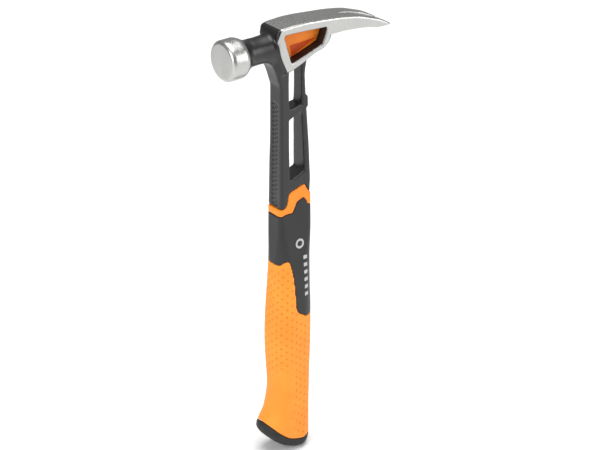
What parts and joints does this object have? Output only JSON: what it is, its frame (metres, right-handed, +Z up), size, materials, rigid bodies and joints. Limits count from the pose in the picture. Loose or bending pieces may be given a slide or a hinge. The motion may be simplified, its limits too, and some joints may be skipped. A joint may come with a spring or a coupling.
{
  "type": "claw hammer",
  "caption": "Rip-claw hammer with a forged steel open-frame neck, orange shock sleeve and dimpled soft grip with an angled butt cap.",
  "frame": {"origin": "below the middle of the head's reach and of its width, level with the lowest point of the butt", "axes": "+Z up the handle to the head, +X towards the claw tips (the striking face looks along -X), +Y across the head, so the XZ plane is the plane of symmetry"},
  "size_m": [0.1432, 0.03, 0.35],
  "materials": {
    "forged_steel": "satin black coat on the neck and poll, with the bell, head top, cheeks and claws ground to bare steel",
    "insert_orange": "satin moulded elastomer with a recessed triangle",
    "sleeve_orange": "satin moulded elastomer",
    "core_black": "dense moulded polymer, fine texture",
    "grip_orange": "soft matte elastomer with moulded dimples",
    "cap_black": "matte elastomer"
  },
  "bodies": {
    "root": {"forging": "forged_steel", "cheek_insert_left": "insert_orange", "cheek_insert_right": "insert_orange", "shock_sleeve": "sleeve_orange", "handle_core": "core_black", "soft_grip": "grip_orange", "butt_cap": "cap_black"}
  },
  "joints": []
}
